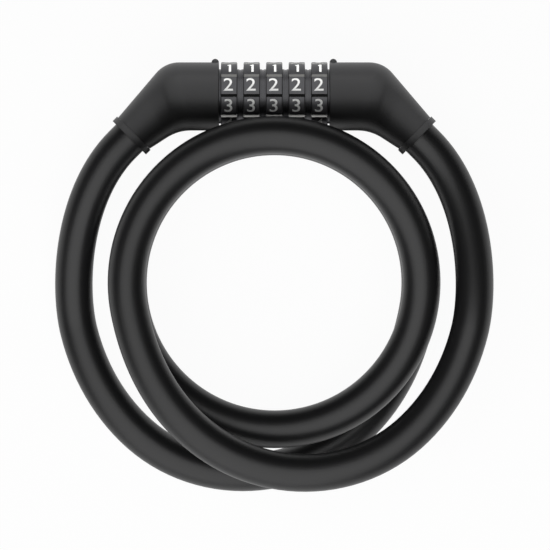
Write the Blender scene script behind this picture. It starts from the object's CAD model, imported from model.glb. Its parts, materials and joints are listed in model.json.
# %% [markdown]
# # A coiled combination cable lock
# The object is a bicycle lock: a steel rope in a black vinyl jacket is wound into a flat coil, and
# its two ends run into a tubular lock with five number dials. The construction model is already
# made and packed, so this lesson only dresses it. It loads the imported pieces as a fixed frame,
# models the surfaces that need more detail than a construction solid has, and gives every piece
# the finish of its real material. Lengths are millimetres until they are turned to metres.

# %% Load the fixed frame
import json
import math

import bmesh
import bpy
from mathutils import Matrix, Vector


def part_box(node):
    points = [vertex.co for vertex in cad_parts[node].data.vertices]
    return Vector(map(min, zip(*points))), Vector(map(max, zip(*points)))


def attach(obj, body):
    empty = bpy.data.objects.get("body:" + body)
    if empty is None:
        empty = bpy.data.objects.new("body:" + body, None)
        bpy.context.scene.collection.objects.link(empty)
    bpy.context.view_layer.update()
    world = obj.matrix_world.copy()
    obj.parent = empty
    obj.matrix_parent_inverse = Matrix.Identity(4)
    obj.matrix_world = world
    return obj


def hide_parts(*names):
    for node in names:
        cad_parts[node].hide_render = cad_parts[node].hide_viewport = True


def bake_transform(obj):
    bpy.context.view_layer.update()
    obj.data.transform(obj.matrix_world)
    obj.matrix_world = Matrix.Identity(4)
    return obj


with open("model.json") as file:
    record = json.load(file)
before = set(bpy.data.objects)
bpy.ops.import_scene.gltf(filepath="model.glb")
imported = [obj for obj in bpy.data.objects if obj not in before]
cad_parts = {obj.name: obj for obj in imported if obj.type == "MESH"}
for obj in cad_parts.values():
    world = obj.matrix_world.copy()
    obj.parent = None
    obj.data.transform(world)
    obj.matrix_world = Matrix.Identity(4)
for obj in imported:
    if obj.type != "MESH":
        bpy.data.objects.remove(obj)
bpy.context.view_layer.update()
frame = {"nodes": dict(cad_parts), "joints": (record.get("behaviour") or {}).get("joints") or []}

MM = 0.001
scene = bpy.context.scene
scene.view_settings.view_transform = "Standard"

# %% [markdown]
# ## Where the frame puts things
# The dials turn about one line, so any dial's joint gives the lock's axis. The boxes of the
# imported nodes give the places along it. Reading them from the frame keeps every new surface on
# the piece that it stands for.

# %% Read the lock's axis and places
turn = next(j for j in frame["joints"] if j["name"] == "dial_1_turn")
AXIS = Vector(turn["pos_m"]) / MM
DIALS = [n for n in sorted(frame["nodes"]) if n.startswith("dial_") and n[-1].isdigit()]
FACE_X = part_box("pin_elbow")[0].x / MM      # where the right housing starts, beside the dials


def middle_x(node):
    low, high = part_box(node)
    return (low.x + high.x) / 2 / MM


dial_x = {n: middle_x(n) for n in DIALS}
print("lock axis at", tuple(round(v, 2) for v in AXIS), "and dials at", dial_x)

# %% [markdown]
# ## Camera
# The lock lies flat and is looked at from straight above. A long lens from far away keeps the
# upper loops of the coil as large as the lower ones. The frame is square, and its width is what
# it takes in at the height of the coil's middle.

# %% Place the camera
VIEW_WIDTH = 218.35
VIEW_CENTRE = Vector((0.3, -55.33, 22))
CAMERA_ABOVE = 2600
SENSOR_W = 36
SIGHT = 100     # metres
camera_data = bpy.data.cameras.new("camera")
camera_data.sensor_width = SENSOR_W
camera_data.lens = SENSOR_W * CAMERA_ABOVE / VIEW_WIDTH
camera_data.clip_end = SIGHT
camera = bpy.data.objects.new("camera", camera_data)
scene.collection.objects.link(camera)
camera.location = (VIEW_CENTRE + Vector((0, 0, CAMERA_ABOVE))) * MM
scene.camera = camera
print("camera lens", round(camera_data.lens), "mm")

# %% [markdown]
# ## Where the cable comes out
# Each housing runs straight on from the dials, round a bend of 45 degrees, and straight on again
# to its mouth. The cable starts there, so the mouth's place and direction are worked out first,
# measured from the lock's axis. The left mouth is the right one mirrored.

# %% Find the two mouths
STRAIGHT_L = 12.9
BEND_R = 15.2
BEND = math.radians(45)
TAIL_L = 16.95
MOUTH = Vector((
    FACE_X + STRAIGHT_L + BEND_R * math.sin(BEND) + TAIL_L * math.cos(BEND),
    -BEND_R * (1 - math.cos(BEND)) - TAIL_L * math.sin(BEND),
    0,
))
MOUTH_WAY = Vector((math.cos(BEND), -math.sin(BEND), 0))
HEAD_MOUTH = Vector((-MOUTH.x, MOUTH.y, 0))
HEAD_WAY = Vector((-MOUTH_WAY.x, MOUTH_WAY.y, 0))
print("mouths", round(2 * MOUTH.x, 1), "mm apart")

# %% [markdown]
# ## The cable's route
# The cable is one tube from mouth to mouth: it leaves the left housing, sweeps round outside,
# draws in to two inner loops that climb over each other, and sweeps back to the right housing.
# Both halves come from one formula, with a slightly different sweep, and the second is then turned
# over about the Y axis. A formula beats a hand-drawn curve here, because the loops have to lie on
# each other evenly. Places round the coil are degrees that count on from turn to turn.

# %% Shape one half of the route
CABLE_D = 15
FOOT_CUT = 1.5                              # taken off the lowest loops, which stand on it
SOCKET_DEPTH = 12                           # how far the jacket goes into a housing
STRAIGHT_OUT = CABLE_D + 1 - SOCKET_DEPTH   # how far it comes out before it bends
LOOP_R = 58.3
LOOP_CENTRE = Vector((0, -LOOP_R - AXIS.y, 0))
LOOP_DROP = AXIS.z - CABLE_D / 2 + FOOT_CUT
SWEEP_R = {"fixed": 81, "pin": 80.1}
SWEEP_DRAW = 0.6                            # how much tighter a sweep is at its start
SWEEP_EASE = (0.36, 0.24)                   # how far each end of the cubic keeps its direction
SWEEP_END = 194
TURN_IN = (228, 349)
CLIMB = (450, 810)


def smooth(t):
    t = min(max(t, 0), 1)
    return t * t * (3 - 2 * t)


def loop_at(degrees, end):
    """A point of the level sweep or of the loops, on the half that starts at this end."""
    drawn = 1 - smooth((degrees - SWEEP_END) / (TURN_IN[0] - SWEEP_END))
    wide = SWEEP_R[end] - SWEEP_DRAW * drawn
    r = wide + (LOOP_R - wide) * smooth((degrees - TURN_IN[0]) / (TURN_IN[1] - TURN_IN[0]))
    z = -LOOP_DROP + 2 * LOOP_DROP * smooth((degrees - CLIMB[0]) / (CLIMB[1] - CLIMB[0]))
    a = math.radians(degrees)
    return LOOP_CENTRE + Vector((r * math.cos(a), r * math.sin(a), z))


def sweep_at(t, end):
    """The cubic that joins the mouth to the wide sweep."""
    start = HEAD_MOUTH + STRAIGHT_OUT * HEAD_WAY
    stop = loop_at(SWEEP_END, end)
    a = math.radians(SWEEP_END)
    span = (stop - start).length
    way = Vector((-math.sin(a), math.cos(a), 0))
    u = 1 - t
    ease_out, ease_in = SWEEP_EASE
    points = (start, start + ease_out * span * HEAD_WAY, stop - ease_in * span * way, stop)
    shares = (u ** 3, 3 * u * u * t, 3 * u * t * t, t ** 3)
    return sum((p * w for p, w in zip(points, shares)), Vector())


print("lowest loop's middle", round(AXIS.z - LOOP_DROP, 1), "mm above the floor")

# %% [markdown]
# ## From mouth to mouth
# A tube needs points at an even step, close enough for smooth bends. They start inside the left
# housing, where the jacket ends, and stop in the right one. The length between the mouths is a
# good check, because such a cable is sold by it.

# %% Join the two halves
HALF_END = 630
SWEEP_SLACK = 1.1       # a sweep is about a tenth longer than the straight line across it
ROUTE_STEP = 2.5
SEAT_GAP = 0.02


def half_route(depth, step, end):
    """Points about step apart, from this deep in a housing to the middle of the cable."""
    first, last = sweep_at(0, end), sweep_at(1, end)
    ends = max(round((depth + STRAIGHT_OUT) / step), 2)
    start = HEAD_MOUTH - depth * HEAD_WAY
    sweeps = round((first - last).length * SWEEP_SLACK / step)
    round_by = HALF_END - SWEEP_END
    turns = round(math.radians(round_by) * LOOP_R / step)
    half = [start.lerp(first, i / ends) for i in range(ends)]
    half += [sweep_at(i / sweeps, end) for i in range(sweeps)]
    return half + [loop_at(SWEEP_END + round_by * i / turns, end) for i in range(turns + 1)]


def route(depth, step):
    """The whole cable where it lies: the fixed end's half, and the pin end's turned over."""
    half = half_route(depth, step, "fixed")
    other = half_route(depth, step, "pin")[:-1]
    over = [Vector((-p.x, p.y, -p.z)) for p in reversed(other)]
    return [p + AXIS for p in half + over]


def length_of(points):
    return sum((b - a).length for a, b in zip(points, points[1:]))


cable_route = route(SOCKET_DEPTH - SEAT_GAP, ROUTE_STEP)
print("cable", round(length_of(cable_route) - 2 * SOCKET_DEPTH), "mm long between the mouths")

# %% [markdown]
# ## Sweeping a tube
# Blender's curves can bevel a tube, but a tube made ring by ring gives control of what matters
# here: the flat that the lowest loops stand on, and a bore for the rope. Each ring is square to
# the route, and its first point lies underneath, so that the seam of any pattern is hidden.

# %% Helpers that build meshes
SHARP_OVER = 40     # degrees: edges sharper than this are shaded as edges


def frame_at(points, i):
    """The side and up directions square to the route at its point i."""
    way = (points[min(i + 1, len(points) - 1)] - points[max(i - 1, 0)]).normalized()
    up = (Vector((0, 0, 1)) - way.z * way).normalized()
    return way.cross(up), up


def ring_at(points, i, radius, sides, offset=(0, 0)):
    side, up = frame_at(points, i)
    centre = points[i] + offset[0] * side + offset[1] * up
    ring = []
    for k in range(sides):
        a = 2 * math.pi * k / sides
        q = centre + radius * (math.sin(a) * side - math.cos(a) * up)
        ring.append(Vector((q.x, q.y, max(q.z, 0))))
    return ring


def skin(rings, sides, first, inward):
    """Quads between rings of points that are numbered from first on."""
    faces = []
    for i in range(rings - 1):
        for k in range(sides):
            a = first + i * sides + k
            b = first + i * sides + (k + 1) % sides
            quad = [a, a + sides, b + sides, b] if inward else [a, b, b + sides, a + sides]
            faces.append(quad)
    return faces


def shade(mesh, sharp_over):
    """Shades a mesh smooth, apart from its sharp edges."""
    mesh.polygons.foreach_set("use_smooth", [True] * len(mesh.polygons))
    mesh.set_sharp_from_angle(angle=math.radians(sharp_over))


def add_mesh(name, points, faces):
    """A mesh object from points in millimetres."""
    mesh = bpy.data.meshes.new(name)
    mesh.from_pydata([Vector(p) * MM for p in points], [], faces)
    shade(mesh, SHARP_OVER)
    made = bpy.data.objects.new(name, mesh)
    scene.collection.objects.link(made)
    return made


def outward(obj):
    """Turns every face outward."""
    work = bmesh.new()
    work.from_mesh(obj.data)
    bmesh.ops.recalc_face_normals(work, faces=work.faces)
    work.to_mesh(obj.data)
    work.free()
    return obj


# %% [markdown]
# ## Vinyl jacket
# On the real lock the jacket is soft PVC, extruded over the rope as a tube. It is modelled as a
# tube with a real bore, cut flat where the lowest loops stand. The attribute `lay` stores how
# far along and round the tube each point is, for marks that follow the extrusion.

# %% Build the jacket
JACKET_SIDES = 48
ROPE_D = 8
ROPE_GAP = 0.3      # between the rope and the jacket's bore


def build_jacket():
    outer = [ring_at(cable_route, i, CABLE_D / 2, JACKET_SIDES) for i in range(len(cable_route))]
    bore = ROPE_D / 2 + ROPE_GAP
    inner = [ring_at(cable_route, i, bore, JACKET_SIDES) for i in range(len(cable_route))]
    count = len(cable_route) * JACKET_SIDES
    faces = skin(len(cable_route), JACKET_SIDES, 0, True)
    faces += skin(len(cable_route), JACKET_SIDES, count, False)
    for start in (0, count - JACKET_SIDES):
        for k in range(JACKET_SIDES):
            n = (k + 1) % JACKET_SIDES
            quad = [start + k, start + n, count + start + n, count + start + k]
            faces.append(quad if start else quad[::-1])
    points = [q for ring in outer + inner for q in ring]
    made = outward(add_mesh("cable_jacket_vinyl", points, faces))
    lay = made.data.attributes.new("lay", "FLOAT_VECTOR", "POINT")
    run = [0.0]
    for a, b in zip(cable_route, cable_route[1:]):
        run.append(run[-1] + (b - a).length * MM)
    values = []
    for n in range(2 * count):
        ring, k = divmod(n % count, JACKET_SIDES)
        values += [run[ring], k / JACKET_SIDES, 0]
    lay.data.foreach_set("vector", values)
    return made


jacket = build_jacket()
print("jacket", len(jacket.data.vertices), "points")

# %% [markdown]
# ## Steel rope
# Inside the jacket is a galvanised rope: six strands laid round a core strand. It shows only
# where the lock is taken apart, so each strand is one rod on a helix, with a real lay length of
# about seven rope diameters.

# %% Build the rope
STRANDS = 6
LAY_LENGTH = 56     # in which a strand goes once round the rope
STRAND_SIDES = 10
ROPE_STEP = 3.2
FERRULE_BACK = 19.6     # how far the rope and its crimped sleeve go into a housing
rope_route = route(FERRULE_BACK - SEAT_GAP, ROPE_STEP)


def build_rope():
    strand_r = ROPE_D / 6
    points, faces = [], []
    for strand in range(STRANDS + 1):
        first = len(points)
        run = 0.0
        for i in range(len(rope_route)):
            if i:
                run += (rope_route[i] - rope_route[i - 1]).length
            a = 2 * math.pi * (strand / STRANDS + run / LAY_LENGTH)
            reach = 2 * strand_r if strand < STRANDS else 0
            offset = (reach * math.cos(a), reach * math.sin(a))
            points += ring_at(rope_route, i, strand_r, STRAND_SIDES, offset)
        faces += skin(len(rope_route), STRAND_SIDES, first, True)
        faces.append(list(range(first, first + STRAND_SIDES)))
        faces.append(list(range(len(points) - STRAND_SIDES, len(points)))[::-1])
    return outward(add_mesh("steel_rope_strands", points, faces))


rope = build_rope()
print("rope", len(rope.data.vertices), "points")

# %% [markdown]
# ## How the cable follows the pin
# When the lock opens, the right housing slides away from the left one, and the coil opens into
# an oval. The jacket and the rope therefore belong to both bodies: what lies left of the left
# mouth follows the fixed end, what lies right of the right mouth follows the pin end, and the
# loops between them stretch smoothly along X, which leaves the tube's section as it is.

# %% Tie the cable to both ends
for cable_piece, node_name, slot_name in (
    (jacket, "cable_jacket", "jacket"),
    (rope, "wire_rope", "rope"),
):
    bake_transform(cable_piece)
    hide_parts(node_name)
print("cord declared,", round(length_of(cable_route)), "mm with its ends in the housings")

# %% [markdown]
# ## End housings
# Each housing is a zinc casting: a thick round barrel at the dials that bends 45 degrees and
# narrows to the cable. Seen from above its outer corner is tight and its inner one is wide, and
# one circle swept along a line can't give both. So the two edges are drawn first, and ovals are
# lofted between them. A few small steps round off the rim beside the dials.

# %% Draw the housing's skin
BODY_D = 27.1
MOUTH_D = 17.6
COLLAR_L = 2.6
OUTER_LEAN = math.radians(49.6)     # how far each edge turns at its corner
INNER_LEAN = math.radians(32.7)
OUTER_CORNER_R = 12
INNER_CORNER_R = 18
TILT_START = 5                      # from the rim to where the ovals start to tilt
RIM = 0.4
HOUSING_SIDES = 96
HOUSING_STEPS = 44


def round_steps(size, steps=4):
    """Inset and rise of each step round a quarter circle."""
    turns = [math.pi / 2 * i / steps for i in range(steps + 1)]
    return [(size * (1 - math.sin(a)), size * (1 - math.cos(a))) for a in turns]


def edge_path(side, lean, corner_r):
    """The outer (+1) or inner (-1) edge seen from above: straight, round a corner, and straight."""
    level = side * BODY_D / 2
    across = Vector((math.sin(BEND), math.cos(BEND), 0))
    stop = MOUTH - (COLLAR_L + SEAT_GAP) * MOUTH_WAY + side * MOUTH_D / 2 * across
    leg = (level - stop.y) / math.sin(lean)
    corner_x = stop.x - leg * math.cos(lean) - corner_r * math.tan(lean / 2)
    before = corner_x - FACE_X - TILT_START
    bend = corner_r * lean
    whole = before + bend + leg - corner_r * math.tan(lean / 2)

    def at(share):
        run = share * whole
        a = min(max((run - before) / corner_r, 0), lean)
        rest = max(run - before - bend, 0)
        x = corner_x + min(run - before, 0) + corner_r * math.sin(a) + rest * math.cos(a)
        return Vector((x, level - corner_r * (1 - math.cos(a)) - rest * math.sin(a), 0)), a

    return at


def housing_rings():
    """Rings of points between the two edges: an oblique cut through a round bar is an oval."""
    ovals = []
    for inset, rise in round_steps(RIM):
        r = BODY_D / 2 - inset
        ovals.append((Vector((FACE_X + rise, 0, 0)), Vector((0, r, 0)), r))
    outer = edge_path(1, OUTER_LEAN, OUTER_CORNER_R)
    inner = edge_path(-1, INNER_LEAN, INNER_CORNER_R)
    for i in range(HOUSING_STEPS + 1):
        share = i / HOUSING_STEPS
        (far, far_a), (near, near_a) = outer(share), inner(share)
        half = (far - near) / 2
        tilt = math.atan2(half.x, half.y)
        ovals.append(((far + near) / 2, half, half.length * math.cos(tilt - (far_a + near_a) / 2)))
    rings = []
    for centre, half, height in ovals:
        for k in range(HOUSING_SIDES):
            t = 2 * math.pi * k / HOUSING_SIDES
            rings.append(centre + math.cos(t) * half + Vector((0, 0, height * math.sin(t))))
    return rings, len(ovals)


skin_rings, skin_count = housing_rings()
print("housing skin of", skin_count, "ovals")

# %% [markdown]
# ## Turning, drilling and joining
# The rest of a housing is what a lathe, a drill and a mould leave: rings turned about a line,
# round holes, and small domes. Booleans cut and join these shapes, so the holes are real. The
# exact solver is slower than the fast one, but it copes with faces that nearly touch.

# %% Helpers that turn, cut and join
CUT = 1             # how far a cutter reaches past the surface that it opens
ROD_SIDES = 64
DOME_SIDES = 32


def turned(name, profile, start, way, sides):
    """A ring turned about a level line, from a closed profile of radius and distance along it."""
    start, way, up = Vector(start), Vector(way), Vector((0, 0, 1))
    side = way.cross(up)
    points = []
    for k in range(sides):
        a = 2 * math.pi * k / sides
        out = math.cos(a) * up + math.sin(a) * side
        points += [start + h * way + r * out for r, h in profile]
    count = len(profile)
    faces = []
    for k in range(sides):
        n = (k + 1) % sides
        for i in range(count):
            j = (i + 1) % count
            faces.append([k * count + i, k * count + j, n * count + j, n * count + i])
    return outward(add_mesh(name, points, faces))


def rod(start, way, radius, length, sides=ROD_SIDES):
    """A closed cylinder from a point along a direction, for cutting and joining."""
    turn_to = Vector((0, 0, 1)).rotation_difference(Vector(way)).to_matrix()
    points = []
    for h in (0, length):
        for k in range(sides):
            a = 2 * math.pi * k / sides
            q = Vector((radius * math.cos(a), radius * math.sin(a), h))
            points.append(Vector(start) + turn_to @ q)
    faces = skin(2, sides, 0, False)
    faces += [list(range(sides))[::-1], list(range(sides, 2 * sides))]
    return outward(add_mesh("tool", points, faces))


def combine(obj, tool, operation):
    """Applies one boolean and removes the tool."""
    step = obj.modifiers.new("combine", "BOOLEAN")
    step.object = tool
    step.operation = operation
    step.solver = "EXACT"
    graph = bpy.context.evaluated_depsgraph_get()
    result = bpy.data.meshes.new_from_object(obj.evaluated_get(graph))
    obj.modifiers.clear()
    obj.data = result
    bpy.data.objects.remove(tool)
    return obj


def dome(at, radius):
    """A ball to join on, of which about half stands out."""
    tool = bmesh.new()
    bmesh.ops.create_uvsphere(
        tool, u_segments=DOME_SIDES, v_segments=DOME_SIDES // 2, radius=radius * MM
    )
    bmesh.ops.translate(tool, verts=tool.verts, vec=Vector(at) * MM)
    mesh = bpy.data.meshes.new("tool")
    tool.to_mesh(mesh)
    tool.free()
    made = bpy.data.objects.new("tool", mesh)
    scene.collection.objects.link(made)
    return made


# %% [markdown]
# ## Bores, cross pins and bumps
# The jacket and the sleeve crimped on the rope sit in a stepped bore at the mouth. The core, or
# the locking pin, sits in a bore on the lock's axis. A cross pin from below holds each of them.
# Beside the dials stands a small index bump, level with the line on which the code is read.

# %% Build the two housings
FERRULE_D = 11
SOCKET_FIT = 0.12
SLIDE_FIT = 0.05
CORE_D = 12
CORE_SEAT_L = 14
PIN_D = 8
PIN_SEAT_L = 15.95
RECESS_D = 19.8
RECESS_DEPTH = 2.74
CROSS_PIN_D = 2.5
CROSS_PIN_SIDES = 32
CROSS_REACH = 8         # how far above the axis a cross pin ends
BUMP_R = 1.5
BUMP_INSET = 1.5
BUMP_SINK = 0.1
CAST_SHARP_OVER = 35    # degrees, for castings


def mouth_rod(depth, radius, length):
    return rod(MOUTH - depth * MOUTH_WAY, MOUTH_WAY, radius, length)


def build_housing(name, along_axis, cross_places):
    """A housing at the pin end, with these holes along the axis and these cross-pin holes."""
    faces = skin(skin_count, HOUSING_SIDES, 0, False)
    last = (skin_count - 1) * HOUSING_SIDES
    faces += [list(range(HOUSING_SIDES)), list(range(last, last + HOUSING_SIDES))]
    made = outward(add_mesh(name, skin_rings, faces))
    combine(made, dome((FACE_X + BUMP_INSET, BODY_D / 2 - BUMP_SINK, 0), BUMP_R), "UNION")
    holes = [
        mouth_rod(SOCKET_DEPTH, CABLE_D / 2 + SOCKET_FIT, SOCKET_DEPTH + CUT),
        mouth_rod(FERRULE_BACK + SEAT_GAP, FERRULE_D / 2 + SLIDE_FIT, FERRULE_BACK),
    ]
    for radius, depth in along_axis:
        holes.append(rod((FACE_X - CUT, 0, 0), (1, 0, 0), radius, depth + CUT))
    for x, y in cross_places:
        radius = CROSS_PIN_D / 2 + SEAT_GAP
        holes.append(rod((x, y, -BODY_D), (0, 0, 1), radius, BODY_D + CROSS_REACH, CROSS_PIN_SIDES))
    for hole in holes:
        combine(made, hole, "DIFFERENCE")
    return made


def settle(obj, mirrored):
    """Moves a piece of the pin end from the lock's axis to its place, or to the fixed end's."""
    flip = Matrix.Scale(-1, 4, (1, 0, 0)) if mirrored else Matrix.Identity(4)
    obj.data.transform(Matrix.Translation(AXIS * MM) @ flip)
    if mirrored:
        obj.data.flip_normals()
    shade(obj.data, CAST_SHARP_OVER)
    return obj


low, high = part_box("pin_ferrule_pin")
ferrule_place = tuple(((low + high) / 2 / MM - AXIS).xy)
core_place = (-middle_x("core_cross_pin"), 0)
lock_place = (middle_x("lock_cross_pin"), 0)
core_bore = (CORE_D / 2 + SLIDE_FIT, CORE_SEAT_L + SEAT_GAP)
ring_recess = (RECESS_D / 2, RECESS_DEPTH)
pin_bore = (PIN_D / 2 + SEAT_GAP, PIN_SEAT_L + SEAT_GAP)
head_housing = settle(build_housing("head_housing", [core_bore], [ferrule_place, core_place]), True)
pin_housing = settle(
    build_housing("pin_housing", [ring_recess, pin_bore], [ferrule_place, lock_place]), False
)
for housing, node_name, body in (
    (head_housing, "head_elbow", "lock_head"),
    (pin_housing, "pin_elbow", "pin_end"),
):
    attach(housing, body)
    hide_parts(node_name)
print("housings", len(head_housing.data.vertices), "and", len(pin_housing.data.vertices), "points")

# %% [markdown]
# ## Mouth rings
# A ring closes each mouth and hides the gap round the jacket. On the real lock it is turned and
# pressed on, so it is made here as a lathe would make it: one profile, carried round a line, with
# its outer edges broken by a small radius that catches the light.

# %% Build the two mouth rings
RING_D = 18.8
RING_EDGE = 0.1
RING_SIDES = 96
BORE_EDGE = 0.1


def ring_profile():
    """Radius and distance along, from the bore at the housing's side round to the open side."""
    outer = RING_D / 2
    bore = CABLE_D / 2 + SOCKET_FIT
    half = [(outer - inset, rise) for inset, rise in round_steps(RING_EDGE)]
    rest = [(r, COLLAR_L - h) for r, h in reversed(half)]
    return [(bore, 0)] + half + rest + [(bore + BORE_EDGE, COLLAR_L), (bore, COLLAR_L - BORE_EDGE)]


ring_pieces = {}
for name, node_name, body, mirrored in (
    ("head_mouth_ring", "head_collar", "lock_head", True),
    ("pin_mouth_ring", "pin_collar", "pin_end", False),
):
    made = turned(name, ring_profile(), MOUTH - COLLAR_L * MOUTH_WAY, MOUTH_WAY, RING_SIDES)
    ring_pieces[name] = settle(made, mirrored)
    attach(made, body)
    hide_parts(node_name)
print("mouth rings", len(ring_pieces))

# %% [markdown]
# ## Number dials
# A dial is a small zinc ring: a hub, and a wider band that ten slots part into raised pads. The
# blank is turned from one profile, as the hub and the band are round, and its rounded shoulders
# become the soft edges of the pads.

# %% Draw a dial's profile
DIAL_D = 27.2
HUB_D = 21.6
HUB_W = 8.06        # 0.16 wider than the solid, so that no light shows beside its washer
HUB_EDGE = 0.02
PAD_W = 6.4
PAD_LEAN = 0.1      # how much wider a pad is at its foot than at its shoulder, on each side
PAD_EDGE = 0.4
CODE_RING_D = 16.5


def dial_profile():
    """Radius and place along the axis, from the bore round one side to the other."""
    bore = CODE_RING_D / 2 + SLIDE_FIT
    hub = HUB_D / 2
    half = [(bore + HUB_EDGE, HUB_W / 2), (hub - HUB_EDGE, HUB_W / 2)]
    half += [(hub, HUB_W / 2 - HUB_EDGE), (hub, PAD_W / 2 + PAD_LEAN)]
    half += [(DIAL_D / 2 - inset, PAD_W / 2 - rise) for inset, rise in round_steps(PAD_EDGE)]
    left = [(r, -x) for r, x in reversed(half)]
    return [(bore, HUB_W / 2 - HUB_EDGE)] + half + left + [(bore, HUB_EDGE - HUB_W / 2)]


print("dial profile of", len(dial_profile()), "points")

# %% [markdown]
# ## Slots and keyways
# A cutter for each slot is shaped like the gap between two pads. It flares at the top and at both
# ends, which leaves every pad with rounded corners and soft edges, as a casting has. Two square
# keyways in the bore take the code ring's keys.

# %% Shape the cutters
DIGITS = 10
SLOT_W = 1.2
SLOT_DEPTH = 2.2
SLOT_EDGE = 0.06
PAD_CORNER = 0.3
CORNER_STEPS = 6


def slot_section():
    """Radius and half width of a slot between two pads, from its floor to above its rounded top."""
    top = DIAL_D / 2
    neck = SLOT_W / 2
    section = [(top - SLOT_DEPTH, neck)]
    section += [(top - drop, neck + inset) for drop, inset in round_steps(SLOT_EDGE)]
    return section + [(top + CUT, neck + SLOT_EDGE + CUT)]


def slot_cutter(degrees):
    """The gap between two pads, with its ends flared so that every pad gets round corners."""
    half_w = PAD_W / 2
    turns = [math.pi / (2 * CORNER_STEPS) * i for i in range(CORNER_STEPS + 1)]
    steps = [PAD_CORNER * (1 - math.cos(a)) for a in turns]
    xs = [-HUB_W / 2 - CUT] + [-half_w + step for step in steps]
    xs += [-x for x in reversed(xs)]
    turn_by = math.radians(degrees)
    up = Vector((0, math.sin(turn_by), math.cos(turn_by)))
    side = Vector((0, math.cos(turn_by), -math.sin(turn_by)))
    section = slot_section()
    points = []
    for x in xs:
        over = min(max(abs(x) - (half_w - PAD_CORNER), 0), PAD_CORNER)
        corner = PAD_CORNER - math.sqrt(PAD_CORNER ** 2 - over ** 2)
        right = [up * r + side * (w + corner) for r, w in section]
        left = [up * r - side * (w + corner) for r, w in reversed(section)]
        points += [p + Vector((x, 0, 0)) for p in right + left]
    count = 2 * len(section)
    faces = skin(len(xs), count, 0, False)
    faces += [list(range(count)), list(range(len(points) - count, len(points)))]
    return points, faces


def box_points(low, high):
    xs, ys, zs = zip(low, high)
    points = [Vector((x, y, z)) for x in xs for y in ys for z in zs]
    faces = [[0, 1, 3, 2], [4, 6, 7, 5], [0, 4, 5, 1], [2, 3, 7, 6], [0, 2, 6, 4], [1, 5, 7, 3]]
    return points, faces


print("slot cutter of", len(slot_cutter(0)[0]), "points")

# %% [markdown]
# ## Cutting and fitting the dials
# All the cutters are joined into one tool, so that one boolean does the work. The plating is
# thin on a slot's walls and thick on its floor, so each face of the finished dial stores which
# of the two it is, and the finish reads that later. The five dials are copies of one casting.

# %% Build the dials
DIAL_SIDES = 240
KEY_W = 2
KEY_REACH = 0.7
NEAR_FLOOR = 0.1    # faces this near to a slot's floor belong to it
SQUARE_ON = 0.9     # the least share of a wall's normal that points across the slot


def build_dial():
    """One dial about the X axis: the turned blank less its slots and its two keyways."""
    made = turned("dial_blank", dial_profile(), (0, 0, 0), (1, 0, 0), DIAL_SIDES)
    cutters = [slot_cutter(360 * k / DIGITS) for k in range(DIGITS)]
    key = KEY_W / 2 + SLIDE_FIT
    reach = CODE_RING_D / 2 + KEY_REACH + SLIDE_FIT
    for low_y, high_y in ((-reach, -CORE_D / 2), (CORE_D / 2, reach)):
        cutters.append(box_points((-HUB_W, low_y, -key), (HUB_W, high_y, key)))
    points, faces = [], []
    for more, cuts in cutters:
        faces += [[len(points) + n for n in face] for face in cuts]
        points += more
    return combine(made, outward(add_mesh("tool", points, faces)), "DIFFERENCE")


def mark_slots(mesh):
    """Stores on each face of a dial about the X axis whether it is a wall or a floor of a slot."""
    thin, thick = ([0.0] * len(mesh.polygons) for _ in range(2))
    for face in mesh.polygons:
        out = Vector((0, face.center.y, face.center.z))
        over_floor = out.length / MM - (DIAL_D / 2 - SLOT_DEPTH)
        across = out.normalized().cross(Vector((1, 0, 0)))
        if abs(face.normal.dot(across)) > SQUARE_ON and over_floor > NEAR_FLOOR:
            thin[face.index] = 1.0
        elif abs(over_floor) < NEAR_FLOOR and face.normal.dot(out) > 0:
            thick[face.index] = 1.0
    for name, values in (("thin_coat", thin), ("thick_coat", thick)):
        mesh.attributes.new(name, "FLOAT", "FACE").data.foreach_set("value", values)


blank = build_dial()
mark_slots(blank.data)
dial_pieces = {}
for name in DIALS:
    mesh = blank.data.copy()
    mesh.transform(Matrix.Translation((AXIS + Vector((dial_x[name], 0, 0))) * MM))
    shade(mesh, CAST_SHARP_OVER)
    made = bpy.data.objects.new(name + "_casting", mesh)
    scene.collection.objects.link(made)
    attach(made, name)
    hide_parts(name)
    dial_pieces[name] = made
bpy.data.objects.remove(blank)
print("dials", len(dial_pieces), "with", len(mesh.vertices), "points each")

# %% [markdown]
# ## Digits
# Each pad carries one digit, cast as a shallow recess and filled with white enamel. Blender's
# own plain font gives nine of them, and the 1 is drawn here because it needs its flag. All are
# stretched from the font's size to the digits' real one.

# %% Draw one digit
DIGIT_H = 5.2
DIGIT_W = 3.65
FONT_H = 0.691      # height and width of the font's own digits
FONT_W = 0.432
FONT_BOLD = 0.005
ONE = [
    (0.245, 0), (0.35, 0), (0.35, 0.69), (0.29, 0.69),
    (0.25, 0.65), (0.18, 0.62), (0.18, 0.54), (0.245, 0.56),
]
ONE_MIDDLE = 0.225


def digit_outline(digit):
    """One digit as a flat mesh, centred, in millimetres."""
    work = bmesh.new()
    if digit == 1:
        corners = [work.verts.new((x, y, 0)) for x, y in ONE]
        work.faces.new(corners)
        middle = ONE_MIDDLE
    else:
        text = bpy.data.curves.new("digit", "FONT")
        text.body = str(digit)
        text.offset = FONT_BOLD
        holder = bpy.data.objects.new("digit", text)
        scene.collection.objects.link(holder)
        bpy.context.view_layer.update()
        graph = bpy.context.evaluated_depsgraph_get()
        mesh = bpy.data.meshes.new_from_object(holder.evaluated_get(graph))
        work.from_mesh(mesh)
        bpy.data.objects.remove(holder)
        bpy.data.meshes.remove(mesh)
        xs = [v.co.x for v in work.verts]
        middle = (min(xs) + max(xs)) / 2
    for v in work.verts:
        v.co.x = (v.co.x - middle) * DIGIT_W / FONT_W
        v.co.y = (v.co.y - FONT_H / 2) * DIGIT_H / FONT_H
        v.co.z = 0
    return work


print("digit 1 drawn with", len(ONE), "corners")

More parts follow.
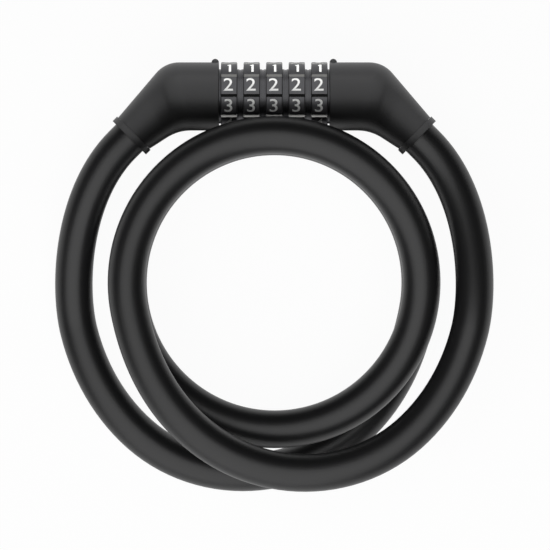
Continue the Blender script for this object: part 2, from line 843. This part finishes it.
# %% [markdown]
# ## Enamel on a drum
# A flat digit laid on a round pad would dig into it. So each outline is sliced into narrow bands
# first, given a thickness, and then wrapped round: its height becomes an angle about the axis.

# %% Wrap the digits round the dials
DIGIT_SHIFT = -0.25     # to the left of the pad's middle
ZERO_AT = 91.2          # degrees from straight up towards +Y, where the index bump is
DIGIT_BANDS = 14
ENAMEL_PROUD = 0.03
ENAMEL_DEEP = 0.12


def on_dial(radius, degrees, x):
    """A point at this angle from straight up towards +Y, on the lock's axis."""
    a = math.radians(degrees)
    return Vector((x, radius * math.sin(a), radius * math.cos(a)))


def wrapped_digits(name, x):
    """All ten digits of one dial as a single enamel piece."""
    points, faces = [], []
    for digit in range(DIGITS):
        work = digit_outline(digit)
        for i in range(1 - DIGIT_BANDS // 2, DIGIT_BANDS // 2):
            everything = work.verts[:] + work.edges[:] + work.faces[:]
            level = (0, i * DIGIT_H / DIGIT_BANDS, 0)
            bmesh.ops.bisect_plane(work, geom=everything, plane_co=level, plane_no=(0, 1, 0))
        bmesh.ops.triangulate(work, faces=work.faces[:])
        top = bmesh.ops.extrude_face_region(work, geom=work.faces[:])
        for v in (v for v in top["geom"] if isinstance(v, bmesh.types.BMVert)):
            v.co.z = 1
        bmesh.ops.recalc_face_normals(work, faces=work.faces)
        work.verts.index_update()
        first = len(points)
        for v in work.verts:
            r = DIAL_D / 2 + (ENAMEL_PROUD if v.co.z > 0.5 else -ENAMEL_DEEP)
            turn_by = ZERO_AT - 360 / DIGITS * digit + math.degrees(v.co.y / (DIAL_D / 2))
            points.append(AXIS + on_dial(r, turn_by, x + DIGIT_SHIFT + v.co.x))
        faces += [[first + v.index for v in face.verts] for face in work.faces]
        work.free()
    return outward(add_mesh(name + "_digits", points, faces))


digit_pieces = {}
for name in DIALS:
    made = wrapped_digits(name, dial_x[name])
    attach(made, name)
    digit_pieces[name] = made
print("digits on", len(digit_pieces), "dials,", len(made.data.vertices), "points each")

# %% [markdown]
# ## One way to make a material
# Every finish below is a small graph of nodes on a Principled shader. One function adds a node,
# sets it up and wires it, one turns a colour as it is seen on a screen into the linear light that
# a renderer works with, and one turns the size of a pattern's cells in millimetres into a scale.
# No real surface is quite even, so the last one lets colour and sheen drift in slow clouds. A
# pixel of the main view is 0.4 mm wide, so a finer grain is drawn coarser where it has to show.

# %% Material helpers


def linear(hex_colour):
    """An sRGB hex colour as linear red, green, blue and alpha."""
    parts = [int(hex_colour[i:i + 2], 16) / 255 for i in (1, 3, 5)]
    return tuple(p / 12.92 if p <= 0.04045 else ((p + 0.055) / 1.055) ** 2.4 for p in parts) + (1,)


def cells(size):
    """The scale of a pattern in metres whose cells are this many millimetres wide."""
    return 1 / (size * MM)


def fill(tree, node, inputs):
    """Gives inputs of a node their values or their links."""
    for key, value in inputs.items():
        if isinstance(value, bpy.types.NodeSocket):
            tree.links.new(value, node.inputs[key])
        else:
            node.inputs[key].default_value = value


def add(tree, kind, inputs=None, **settings):
    """Adds one node, sets its properties, and fills its inputs."""
    made = tree.nodes.new(kind)
    for key, value in settings.items():
        setattr(made, key, value)
    fill(tree, made, inputs or {})
    return made


def new_material(name, **shader):
    """A material with a Principled shader, these values on its sockets, and a place to map by."""
    made = bpy.data.materials.new(name)
    made.use_nodes = True
    tree = made.node_tree
    tree.nodes.clear()
    values = {key.replace("_", " "): value for key, value in shader.items()}
    body = add(tree, "ShaderNodeBsdfPrincipled", values)
    add(tree, "ShaderNodeOutputMaterial", {"Surface": body.outputs["BSDF"]})
    return made, tree, body, add(tree, "ShaderNodeTexCoord").outputs["Object"]


def slow_clouds(tree, place, size, dark, light, low, high, detail=3):
    """A colour between two and a roughness between two, in clouds of this size."""
    noise = {"Vector": place, "Scale": cells(size), "Detail": detail}
    cloud = add(tree, "ShaderNodeTexNoise", noise).outputs[0]
    shades = {"Fac": cloud, "Color1": linear(dark), "Color2": linear(light)}
    colour = add(tree, "ShaderNodeMixRGB", shades)
    sheen = add(tree, "ShaderNodeMapRange", {"Value": cloud, "To Min": low, "To Max": high})
    return colour.outputs[0], sheen.outputs[0]


def wear(obj, material):
    obj.data.materials.clear()
    obj.data.materials.append(material)


print("a cell of 0.4 mm needs a scale of", round(cells(0.4)))

# %% [markdown]
# ## Soft PVC, extruded
# The jacket is plasticised vinyl that is squeezed through a round die. That leaves a near-black
# skin with a satin sheen, very fine grain, and faint lines along the cable from the die. The
# lines come from a noise that is stretched along the stored `lay`, and a slow cloud makes the
# sheen a little uneven, as handling does.

# %% Make the vinyl
VINYL_GRAIN = 0.4   # the real grain is about 0.1 mm: drawn coarser, so that it just shows
VINYL_CLOUD = 22
DIE_LINE_L = 80
DIE_LINES = 110     # round the jacket, 0.4 mm apart: the real ones are finer


def soft_pvc():
    made, tree, body, place = new_material("soft_pvc_extruded", IOR=1.5)
    colour, sheen = slow_clouds(tree, place, VINYL_CLOUD, "#0f0f10", "#161617", 0.37, 0.44)
    lay = add(tree, "ShaderNodeAttribute", attribute_name="lay").outputs["Vector"]
    drag = (cells(DIE_LINE_L), DIE_LINES, 1)
    along = add(tree, "ShaderNodeMapping", {"Vector": lay, "Scale": drag})
    lines = add(tree, "ShaderNodeTexNoise", {"Vector": along.outputs[0], "Scale": 1, "Detail": 2})
    grain = add(tree, "ShaderNodeTexNoise", {
        "Vector": place, "Scale": cells(VINYL_GRAIN), "Detail": 3
    })
    fine = add(tree, "ShaderNodeBump", {
        "Height": grain.outputs[0], "Strength": 0.1, "Distance": 0.0002
    })
    drawn = add(tree, "ShaderNodeBump", {
        "Height": lines.outputs[0], "Strength": 0.12, "Distance": 0.0002, "Normal": fine.outputs[0]
    })
    fill(tree, body, {"Base Color": colour, "Roughness": sheen, "Normal": drawn.outputs[0]})
    return made


wear(jacket, soft_pvc())
print("vinyl on", jacket.name)

# %% [markdown]
# ## Powder-coated zinc
# The housings are die-cast zinc with a baked powder coat. Powder melts into a skin that is never
# quite flat: its orange peel has waves of about a millimetre. The coat is satin black, so it
# shows a broad soft sheen, and where the two halves of the die met, the casting keeps a faint
# line level with the lock's axis.

# %% Make the powder coat
PEEL = 0.9
COAT_CLOUD = 16
SEAM_HALF_W = 0.16


def powder_coat():
    made, tree, body, place = new_material("powder_coated_zinc", IOR=1.5)
    colour, sheen = slow_clouds(tree, place, COAT_CLOUD, "#1f1f20", "#252526", 0.42, 0.50)
    peel = add(tree, "ShaderNodeTexNoise", {"Vector": place, "Scale": cells(PEEL), "Detail": 2})
    height = add(tree, "ShaderNodeSeparateXYZ", {"Vector": place}).outputs["Z"]
    level = add(tree, "ShaderNodeMath", {0: height, 1: AXIS.z * MM}, operation="SUBTRACT")
    off = add(tree, "ShaderNodeMath", {0: level.outputs[0]}, operation="ABSOLUTE")
    seam = add(tree, "ShaderNodeMapRange", {
        "Value": off.outputs[0], "From Max": SEAM_HALF_W * MM, "To Min": 1, "To Max": 0
    }, interpolation_type="SMOOTHSTEP")
    waves = add(tree, "ShaderNodeBump", {
        "Height": peel.outputs[0], "Strength": 0.09, "Distance": 0.0003
    })
    parted = add(tree, "ShaderNodeBump", {
        "Height": seam.outputs[0], "Strength": 0.5, "Distance": 0.0001, "Normal": waves.outputs[0]
    })
    fill(tree, body, {"Base Color": colour, "Roughness": sheen, "Normal": parted.outputs[0]})
    return made


POWDER_COAT = powder_coat()
coated = [head_housing, pin_housing, *ring_pieces.values()]
for piece in coated:
    wear(piece, POWDER_COAT)
print("powder coat on", len(coated), "pieces")

# %% [markdown]
# ## Black nickel
# Dials and washers are plated, because powder would clog their small pads. Black nickel is a
# metal, so it has no colour of its own under the sheen: what is seen is a dark reflection, a
# little lighter than the housings. On the walls of the slots between the pads the plating is
# thin and dull, and the zinc shows through as a lighter grey. On their floors it lies thick and
# holds dirt, and is almost black. Both are stored on the dial's faces.

# %% Make the plating
PLATE_GRAIN = 0.25  # the real grain is about 0.1 mm: drawn coarser, for close views
PLATE_CLOUD = 5


def black_nickel():
    made, tree, body, place = new_material("black_nickel_plating")
    plate, sheen = slow_clouds(tree, place, PLATE_CLOUD, "#505052", "#5c5c5e", 0.31, 0.38)
    thin = add(tree, "ShaderNodeAttribute", attribute_name="thin_coat").outputs["Fac"]
    thick = add(tree, "ShaderNodeAttribute", attribute_name="thick_coat").outputs["Fac"]
    both = add(tree, "ShaderNodeMath", {0: thin, 1: thick}, operation="ADD").outputs[0]
    worn = add(tree, "ShaderNodeMixRGB", {
        "Fac": thin, "Color1": plate, "Color2": linear("#7e7e7c")
    })
    colour = add(tree, "ShaderNodeMixRGB", {
        "Fac": thick, "Color1": worn.outputs[0], "Color2": linear("#101010")
    })
    metal = add(tree, "ShaderNodeMapRange", {"Value": both, "To Min": 1, "To Max": 0})
    dirt = add(tree, "ShaderNodeMapRange", {"Value": thick, "To Min": 0.5, "To Max": 0.04})
    dull = add(tree, "ShaderNodeMath", {0: both, 1: 0.3}, operation="MULTIPLY")
    rough = add(tree, "ShaderNodeMath", {0: sheen, 1: dull.outputs[0]}, operation="ADD")
    grain = add(tree, "ShaderNodeTexNoise", {
        "Vector": place, "Scale": cells(PLATE_GRAIN), "Detail": 3
    })
    bump = add(tree, "ShaderNodeBump", {
        "Height": grain.outputs[0], "Strength": 0.08, "Distance": 0.0001
    })
    fill(tree, body, {
        "Base Color": colour.outputs[0], "Metallic": metal.outputs[0],
        "Roughness": rough.outputs[0], "Specular IOR Level": dirt.outputs[0],
        "Normal": bump.outputs[0],
    })
    return made


BLACK_NICKEL = black_nickel()
for name in DIALS:
    wear(dial_pieces[name], BLACK_NICKEL)
wear(frame["nodes"]["dial_spacers"], BLACK_NICKEL)
print("plating on", len(DIALS), "dials and their washers")

# %% [markdown]
# ## White enamel
# The digits are cast as shallow recesses, filled with white enamel paint and wiped flush. The
# fill is slightly uneven, so it has a faint mottle and a soft gloss.

# %% Make the enamel
ENAMEL_CLOUD = 1.2


def white_enamel():
    made, tree, body, place = new_material("white_enamel_fill")
    colour, sheen = slow_clouds(tree, place, ENAMEL_CLOUD, "#e9e9e7", "#f6f6f4", 0.35, 0.5, 2)
    fill(tree, body, {"Base Color": colour, "Roughness": sheen})
    return made


ENAMEL = white_enamel()
for name in DIALS:
    wear(digit_pieces[name], ENAMEL)
print("enamel in", DIGITS * len(DIALS), "digits")

# %% [markdown]
# ## Plain metals
# The works are bare metal. A turned part keeps rings from the tool, a fraction of a millimetre
# apart, and drawn or rolled stock has a fine cloudy grain. One function makes both, because only
# the colour, the polish and the tool marks differ.

# %% Make the metals
TOOL_PITCH = 0.5        # a lathe leaves rings about 0.15 mm apart: drawn coarser, so that they show
STOCK_GRAIN = 1.1       # the real grain is about 0.2 mm: drawn coarser too
POLISH_DRIFT = 0.06
WAVE_PERIOD = 0.314     # width of one band of Blender's wave texture at a scale of 1


def bare_metal(name, colour, rough, turned_marks):
    made, tree, body, place = new_material(name, Metallic=1.0, Base_Color=linear(colour))
    relief = add(tree, "ShaderNodeTexNoise", {
        "Vector": place, "Scale": cells(STOCK_GRAIN), "Detail": 3
    })
    sheen = add(tree, "ShaderNodeMapRange", {
        "Value": relief.outputs[0], "To Min": rough - POLISH_DRIFT, "To Max": rough + POLISH_DRIFT
    })
    if turned_marks:
        relief = add(tree, "ShaderNodeTexWave", {
            "Vector": place, "Scale": WAVE_PERIOD * cells(TOOL_PITCH), "Distortion": 0.4
        }, bands_direction="X")
    bump = add(tree, "ShaderNodeBump", {
        "Height": relief.outputs["Fac"], "Strength": 0.12, "Distance": 0.00005
    })
    fill(tree, body, {"Roughness": sheen.outputs[0], "Normal": bump.outputs[0]})
    return made


METALS = {
    "turned_steel": bare_metal("turned_steel", "#b2b3b6", 0.3, True),
    "hardened_steel": bare_metal("polished_hardened_steel", "#b9babd", 0.2, True),
    "turned_brass": bare_metal("turned_brass", "#c9a552", 0.3, True),
    "drawn_steel": bare_metal("drawn_steel", "#a8a9ac", 0.35, False),
    "spring_steel": bare_metal("blackened_spring_steel", "#4a4b4d", 0.38, False),
    "galvanised_steel": bare_metal("galvanised_steel_wire", "#a3a6a9", 0.42, False),
    "crimped_aluminium": bare_metal("crimped_aluminium", "#c4c5c6", 0.4, False),
}
STOCK = {
    "barrel_core": "turned_steel", "lock_pin": "hardened_steel",
    "retaining_ring": "spring_steel", "detent_spring": "spring_steel",
    "core_cross_pin": "drawn_steel", "lock_cross_pin": "drawn_steel",
    "head_ferrule_pin": "drawn_steel", "pin_ferrule_pin": "drawn_steel",
    "head_ferrule": "crimped_aluminium", "pin_ferrule": "crimped_aluminium",
}
STOCK.update({name: "turned_brass" for name in frame["nodes"] if name.startswith("code_ring_")})
for name, metal in STOCK.items():
    wear(frame["nodes"][name], METALS[metal])
wear(rope, METALS["galvanised_steel"])
print("bare metal on", len(STOCK) + 1, "pieces")

# %% [markdown]
# ## Floor
# The lock lies on a large sheet of white paper. To the camera and in reflections it is nearly all
# an even white glow, and the little paint that is left in it keeps a faint shadow. Every other
# ray meets the paint alone, so the paper gives back only as much light as paper does.

# %% Lay the floor
FLOOR_SIZE = 30000
FLOOR_BELOW = 0.2
GLOW_SHARE = 0.95
bpy.ops.mesh.primitive_plane_add(size=FLOOR_SIZE * MM, location=(0, 0, -FLOOR_BELOW * MM))
floor = bpy.context.object
floor.name = "floor"


def white_paper():
    made = bpy.data.materials.new("white_paper_sweep")
    made.use_nodes = True
    tree = made.node_tree
    tree.nodes.clear()
    paint = add(tree, "ShaderNodeBsdfDiffuse", {"Color": linear("#f4f4f4")})
    glow = add(tree, "ShaderNodeEmission", {"Color": (1, 1, 1, 1), "Strength": 1})
    ray = add(tree, "ShaderNodeLightPath").outputs
    seen = ray["Is Camera Ray"]
    for kind in ("Is Glossy Ray", "Is Transmission Ray"):
        seen = add(tree, "ShaderNodeMath", {0: seen, 1: ray[kind]}, operation="ADD").outputs[0]
    share = add(tree, "ShaderNodeMath", {0: seen, 1: GLOW_SHARE}, operation="MULTIPLY")
    mixed = add(tree, "ShaderNodeMixShader", {
        0: share.outputs[0], 1: paint.outputs[0], 2: glow.outputs[0]
    })
    add(tree, "ShaderNodeOutputMaterial", {"Surface": mixed.outputs[0]})
    return made


wear(floor, white_paper())
print("floor laid")

# %% [markdown]
# ## Light
# Four plain softboxes light the set, and each shines on what it is for, as flags and screens do
# in a studio. A wide one over the coil gives the cable its broad highlight and lights the paper.
# A second one leans over the lock body from behind and is only mirrored in its finish. A small
# third one stands low behind the lock body and lights its digits from the side, which is what
# makes them stand out. The last hangs overhead and reaches down the walls of the dials' slots.
# Sizes and distances are metres here, as Blender's lamps have them.

# %% Hang the lights
SURROUND = 0.05     # how much light comes from all round


def softbox(name, bearing, distance, size, radiance, receivers, glossy=True, diffuse=True):
    """An area light in a direction from the coil, which shines on these pieces alone."""
    data = bpy.data.lights.new(name, "AREA")
    data.shape = "RECTANGLE"
    data.size, data.size_y = size
    data.energy = math.pi * size[0] * size[1] * radiance
    made = bpy.data.objects.new(name, data)
    scene.collection.objects.link(made)
    way = Vector(bearing).normalized()
    made.location = way * distance
    made.rotation_mode = "QUATERNION"
    made.rotation_quaternion = (-way).to_track_quat("-Z", "Y")
    made.visible_camera = False
    made.visible_glossy = glossy
    made.visible_diffuse = diffuse
    group = bpy.data.collections.new(name + "_lights")
    for piece in receivers:
        group.objects.link(piece)
    made.light_linking.receiver_collection = group
    return made


cable_set = [jacket, rope, floor]
dial_set = list(dial_pieces.values())
lock_set = [*coated, *dial_set, *digit_pieces.values()]
lock_set += [frame["nodes"][name] for name in [*STOCK, "dial_spacers"]]
softbox("coil_softbox", (-0.22, -0.62, 1), 1.2, (1.74, 2.86), 1.65, cable_set)
softbox("lock_softbox", (0, 0.58, 1), 1.2, (4.2, 2.9), 1.1, lock_set, diffuse=False)
softbox("digit_softbox", (0, 0.9, 0.44), 1.5, (0.8, 0.8), 14, lock_set, glossy=False)
softbox("slot_softbox", (0, 0.15, 1), 1.5, (0.6, 0.6), 30, dial_set, glossy=False)
world = bpy.data.worlds.new("studio")
scene.world = world
world.use_nodes = True
background = world.node_tree.nodes["Background"]
fill(world.node_tree, background, {"Color": (1, 1, 1, 1), "Strength": SURROUND})
print("four softboxes hung")
